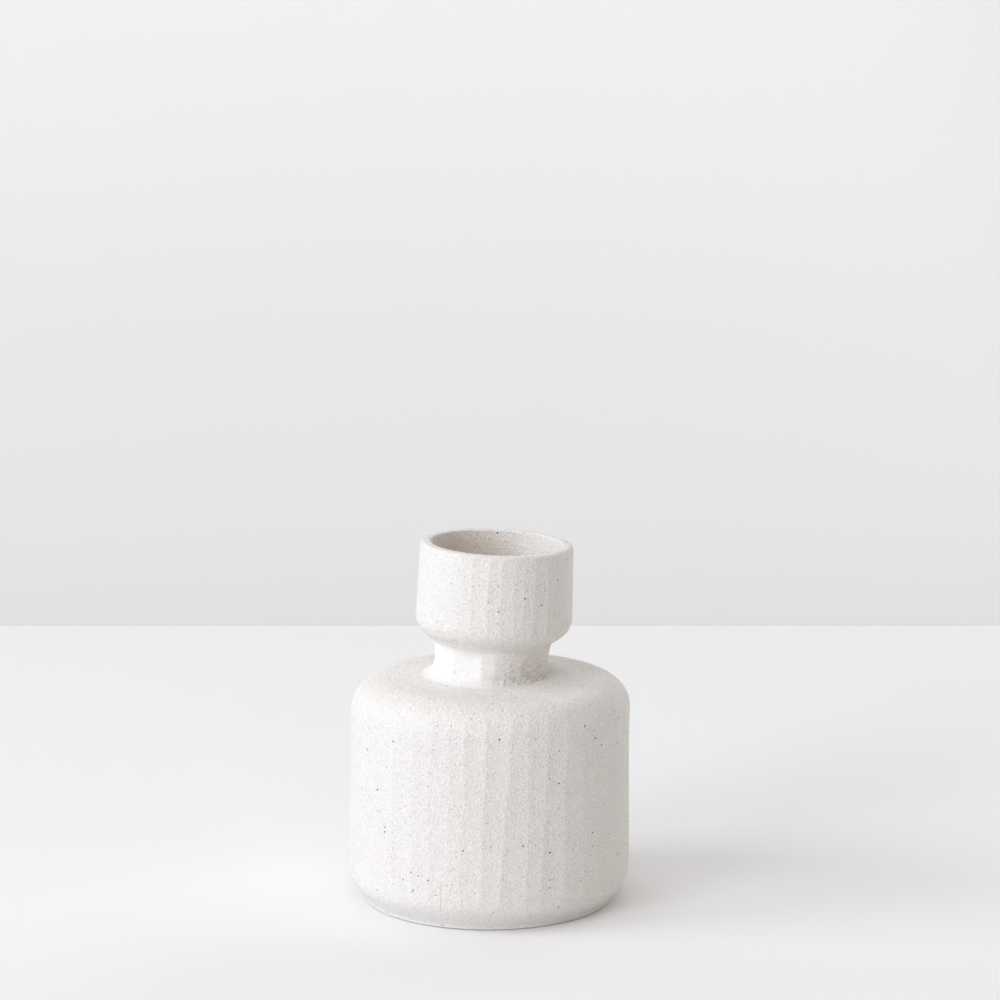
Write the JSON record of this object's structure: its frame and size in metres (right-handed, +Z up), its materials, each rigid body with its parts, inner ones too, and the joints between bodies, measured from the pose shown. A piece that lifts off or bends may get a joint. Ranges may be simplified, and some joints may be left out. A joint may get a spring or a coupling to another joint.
{
  "type": "bud vase",
  "caption": "Squat matte stoneware bud vase with a planed cylindrical body, a short neck and a cup-shaped collar, open through to a glazed cavity.",
  "frame": {"origin": "middle of the circle that the foot stands on, at the level of the table", "axes": "+Z up along the body's axis; +X is the side towards which the neck and collar lean by 2.4 degrees"},
  "size_m": [0.1002, 0.1002, 0.129],
  "materials": {
    "stoneware": "matte speckled",
    "slip": "matte, smeared by hand",
    "glaze": "satin"
  },
  "bodies": {
    "root": {"foot_ring": "stoneware", "floor_slab": "stoneware", "floor_coil": "stoneware", "body_wall": "stoneware", "shoulder_cap": "stoneware", "neck_tube": "stoneware", "neck_seam": "slip", "collar": "stoneware", "glaze_lining": "glaze"}
  },
  "joints": []
}
